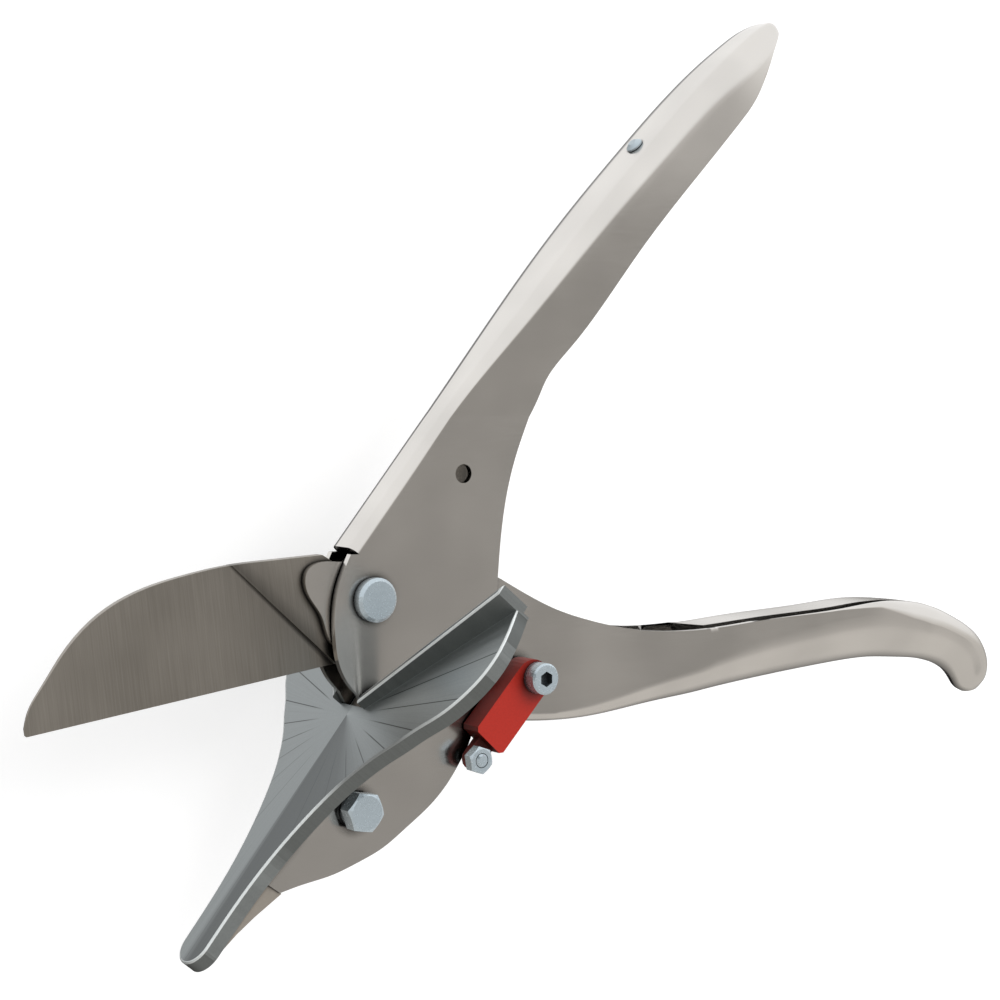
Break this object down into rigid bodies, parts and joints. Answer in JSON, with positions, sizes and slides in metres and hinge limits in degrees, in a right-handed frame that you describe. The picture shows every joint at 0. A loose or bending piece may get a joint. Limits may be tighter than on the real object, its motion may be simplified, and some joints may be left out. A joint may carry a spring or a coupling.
{
  "type": "trim snips",
  "caption": "Hand snips for trim: a straight blade closes on an arrow-shaped anvil with 45 degree fences, folded steel handles and a swinging safety latch.",
  "frame": {"origin": "centre of the bounding box, on its base plane", "axes": "+X from the blade tip towards the handle ends, +Y from the lower handle towards the upper, +Z along the pivot bolt towards its round head"},
  "size_m": [0.2658, 0.205, 0.0749],
  "materials": {
    "nickel": "bright nickel plate on folded steel",
    "ground_steel": "ground satin",
    "zinc_casting": "dull casting with brushed face",
    "zinc_plate": "bright zinc plate",
    "bronze": "turned",
    "red_plastic": "moulded, slight sheen"
  },
  "bodies": {
    "anvil_side": {"anvil_lever": "nickel", "anvil": "zinc_casting", "pivot_bolt": "zinc_plate", "pivot_washer": "zinc_plate", "pivot_nut": "zinc_plate", "anvil_bolt": "zinc_plate", "anvil_spring_washer": "zinc_plate", "anvil_washer": "zinc_plate", "anvil_nut": "zinc_plate", "anvil_pin": "zinc_plate", "return_spring": "ground_steel", "spring_rivet": "zinc_plate"},
    "blade_side": {"blade_lever": "nickel", "blade": "ground_steel", "pivot_bush": "bronze", "blade_rivet": "zinc_plate", "latch_spacer": "zinc_plate", "latch_washer": "zinc_plate", "latch_screw": "zinc_plate", "latch_nut": "zinc_plate"},
    "latch": {"latch_lever": "red_plastic", "catch_screw": "zinc_plate", "catch_nut": "zinc_plate"}
  },
  "joints": [
    {"name": "blade_lever_pivot", "type": "hinge", "parent": "anvil_side", "child": "blade_side", "pos_m": [-0.054, -0.02684, 0.03743], "axis": [0, 0, 1], "range_deg": [0, 42.9], "stiffness_Nm_per_rad": 0.4, "springref_deg": -17.19},
    {"name": "latch_pivot", "type": "hinge", "parent": "blade_side", "child": "latch", "pos_m": [-0.01518, -0.04603, 0.04523], "axis": [0, 0, -1], "range_deg": [0, 130]}
  ]
}
